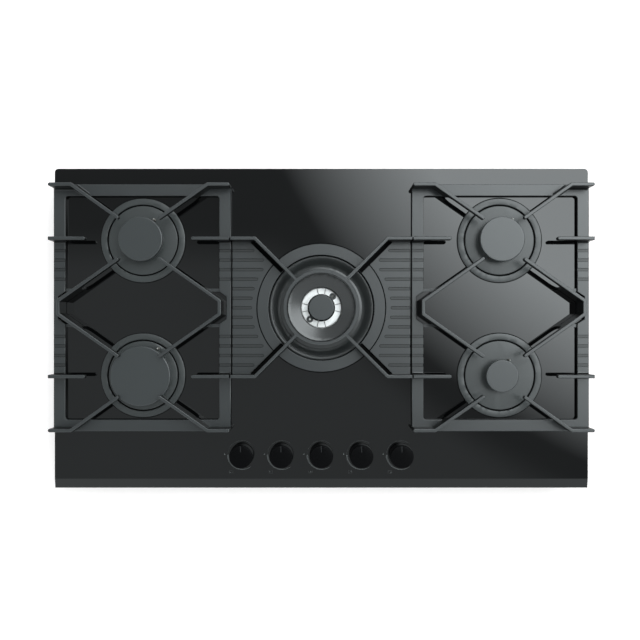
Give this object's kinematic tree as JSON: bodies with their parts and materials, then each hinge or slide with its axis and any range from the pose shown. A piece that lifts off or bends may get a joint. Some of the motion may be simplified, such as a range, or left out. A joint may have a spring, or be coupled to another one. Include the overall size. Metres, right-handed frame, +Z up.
{
  "type": "gas cooktop",
  "caption": "Built-in gas cooktop: black glass top, lift-off pan supports, small burners and a dual-ring wok burner, turning knobs along the front, steel tray with the gas line below.",
  "frame": {"origin": "middle of the underside of the steel tray, under the middle of the glass", "axes": "+X to the right along the width, +Y from the knobs to the back, +Z up"},
  "size_m": [0.86, 0.515, 0.0955],
  "materials": {
    "alloy": "die-cast",
    "alloy_bright": "bright cast aluminium",
    "brass": "turned",
    "ceramic": "white alumina with a steel pin",
    "copper": "drawn copper tube",
    "enamel": "matt black enamel on cast iron",
    "enamel_steel": "black enamelled steel",
    "foam": "black foam tape",
    "glass": "black glass ceramic, polished",
    "knob": "satin black",
    "lead": "white silicone insulation",
    "plastic": "pale heat-resistant plastic",
    "rubber": "black",
    "steel": "galvanised sheet"
  },
  "bodies": {
    "cooktop": {"glass_top": "glass", "perimeter_seal": "foam", "bottom_box": "steel", "burner_rails": "steel", "frame_screws": "steel", "worktop_clamps": "steel", "clamp_screws": "steel", "gas_manifold": "steel", "feed_pipes": "alloy", "gas_taps": "alloy", "injectors": "brass", "thermocouples": "copper", "spark_electrodes": "ceramic", "ignition_leads": "lead", "ignition_switches": "plastic", "ignition_module": "plastic", "mains_inlet": "knob", "wok_dish": "enamel_steel", "burner_base_wok": "alloy", "burner_base_rear_left": "alloy", "burner_cup_rear_left": "enamel_steel", "burner_base_front_left": "alloy", "burner_cup_front_left": "enamel_steel", "burner_base_rear_right": "alloy", "burner_cup_rear_right": "enamel_steel", "burner_base_front_right": "alloy", "burner_cup_front_right": "enamel_steel"},
    "pan_support_left": {"pan_support_left": "enamel", "support_pads_left": "rubber"},
    "pan_support_centre": {"pan_support_centre": "enamel", "support_pads_centre": "rubber"},
    "pan_support_right": {"pan_support_right": "enamel", "support_pads_right": "rubber"},
    "spreader_rear_left": {"flame_spreader_rear_left": "alloy"},
    "cap_rear_left": {"burner_cap_rear_left": "enamel_steel"},
    "spreader_front_left": {"flame_spreader_front_left": "alloy"},
    "cap_front_left": {"burner_cap_front_left": "enamel_steel"},
    "spreader_rear_right": {"flame_spreader_rear_right": "alloy"},
    "cap_rear_right": {"burner_cap_rear_right": "enamel_steel"},
    "spreader_front_right": {"flame_spreader_front_right": "alloy"},
    "cap_front_right": {"burner_cap_front_right": "enamel_steel"},
    "spreader_wok_outer": {"flame_spreader_wok_outer": "enamel_steel"},
    "cap_wok_outer": {"burner_cap_wok_outer": "enamel_steel"},
    "spreader_wok_inner": {"flame_spreader_wok_inner": "alloy_bright"},
    "cap_wok_inner": {"burner_cap_wok_inner": "enamel_steel"},
    "tap_1": {"tap_plug_1": "brass"},
    "knob_1": {"spindle_1": "brass", "knob_1": "knob"},
    "tap_2": {"tap_plug_2": "brass"},
    "knob_2": {"spindle_2": "brass", "knob_2": "knob"},
    "tap_3": {"tap_plug_3": "brass"},
    "knob_3": {"spindle_3": "brass", "knob_3": "knob"},
    "tap_4": {"tap_plug_4": "brass"},
    "knob_4": {"spindle_4": "brass", "knob_4": "knob"},
    "tap_5": {"tap_plug_5": "brass"},
    "knob_5": {"spindle_5": "brass", "knob_5": "knob"}
  },
  "joints": [
    {"name": "pan_support_left_lift", "type": "slide", "parent": "cooktop", "child": "pan_support_left", "axis": [0, 0, 1], "range_m": [0, 0.06]},
    {"name": "pan_support_centre_lift", "type": "slide", "parent": "cooktop", "child": "pan_support_centre", "axis": [0, 0, 1], "range_m": [0, 0.06]},
    {"name": "pan_support_right_lift", "type": "slide", "parent": "cooktop", "child": "pan_support_right", "axis": [0, 0, 1], "range_m": [0, 0.06]},
    {"name": "spreader_rear_left_lift", "type": "slide", "parent": "cooktop", "child": "spreader_rear_left", "axis": [0, 0, 1], "range_m": [0, 0.06]},
    {"name": "cap_rear_left_lift", "type": "slide", "parent": "spreader_rear_left", "child": "cap_rear_left", "axis": [0, 0, 1], "range_m": [0, 0.06]},
    {"name": "spreader_front_left_lift", "type": "slide", "parent": "cooktop", "child": "spreader_front_left", "axis": [0, 0, 1], "range_m": [0, 0.001]},
    {"name": "cap_front_left_lift", "type": "slide", "parent": "spreader_front_left", "child": "cap_front_left", "axis": [0, 0, 1], "range_m": [0, 0.001]},
    {"name": "spreader_rear_right_lift", "type": "slide", "parent": "cooktop", "child": "spreader_rear_right", "axis": [0, 0, 1], "range_m": [0, 0.06]},
    {"name": "cap_rear_right_lift", "type": "slide", "parent": "spreader_rear_right", "child": "cap_rear_right", "axis": [0, 0, 1], "range_m": [0, 0.06]},
    {"name": "spreader_front_right_lift", "type": "slide", "parent": "cooktop", "child": "spreader_front_right", "axis": [0, 0, 1], "range_m": [0, 0.06]},
    {"name": "cap_front_right_lift", "type": "slide", "parent": "spreader_front_right", "child": "cap_front_right", "axis": [0, 0, 1], "range_m": [0, 0.06]},
    {"name": "spreader_wok_outer_lift", "type": "slide", "parent": "cooktop", "child": "spreader_wok_outer", "axis": [0, 0, 1], "range_m": [0, 0.005]},
    {"name": "cap_wok_outer_lift", "type": "slide", "parent": "spreader_wok_outer", "child": "cap_wok_outer", "axis": [0, 0, 1], "range_m": [0, 0.06]},
    {"name": "spreader_wok_inner_lift", "type": "slide", "parent": "cooktop", "child": "spreader_wok_inner", "axis": [0, 0, 1], "range_m": [0, 0.06]},
    {"name": "cap_wok_inner_lift", "type": "slide", "parent": "spreader_wok_inner", "child": "cap_wok_inner", "axis": [0, 0, 1], "range_m": [0, 0.06]},
    {"name": "knob_1_turn", "type": "hinge", "parent": "cooktop", "child": "tap_1", "pos_m": [-0.128, -0.204, 0.056], "axis": [0, 0, 1], "range_deg": [0, 210]},
    {"name": "knob_1_push", "type": "slide", "parent": "tap_1", "child": "knob_1", "axis": [0, 0, 1], "range_m": [-0.003, 0], "stiffness_N_per_m": 1500, "springref_m": 0.002},
    {"name": "knob_2_turn", "type": "hinge", "parent": "cooktop", "child": "tap_2", "pos_m": [-0.064, -0.204, 0.056], "axis": [0, 0, 1], "range_deg": [0, 210]},
    {"name": "knob_2_push", "type": "slide", "parent": "tap_2", "child": "knob_2", "axis": [0, 0, 1], "range_m": [-0.003, 0], "stiffness_N_per_m": 1500, "springref_m": 0.002},
    {"name": "knob_3_turn", "type": "hinge", "parent": "cooktop", "child": "tap_3", "pos_m": [0, -0.204, 0.056], "axis": [0, 0, 1], "range_deg": [0, 210]},
    {"name": "knob_3_push", "type": "slide", "parent": "tap_3", "child": "knob_3", "axis": [0, 0, 1], "range_m": [-0.003, 0], "stiffness_N_per_m": 1500, "springref_m": 0.002},
    {"name": "knob_4_turn", "type": "hinge", "parent": "cooktop", "child": "tap_4", "pos_m": [0.064, -0.204, 0.056], "axis": [0, 0, 1], "range_deg": [0, 210]},
    {"name": "knob_4_push", "type": "slide", "parent": "tap_4", "child": "knob_4", "axis": [0, 0, 1], "range_m": [-0.003, 0], "stiffness_N_per_m": 1500, "springref_m": 0.002},
    {"name": "knob_5_turn", "type": "hinge", "parent": "cooktop", "child": "tap_5", "pos_m": [0.128, -0.204, 0.056], "axis": [0, 0, 1], "range_deg": [0, 210]},
    {"name": "knob_5_push", "type": "slide", "parent": "tap_5", "child": "knob_5", "axis": [0, 0, 1], "range_m": [-0.003, 0], "stiffness_N_per_m": 1500, "springref_m": 0.002}
  ]
}
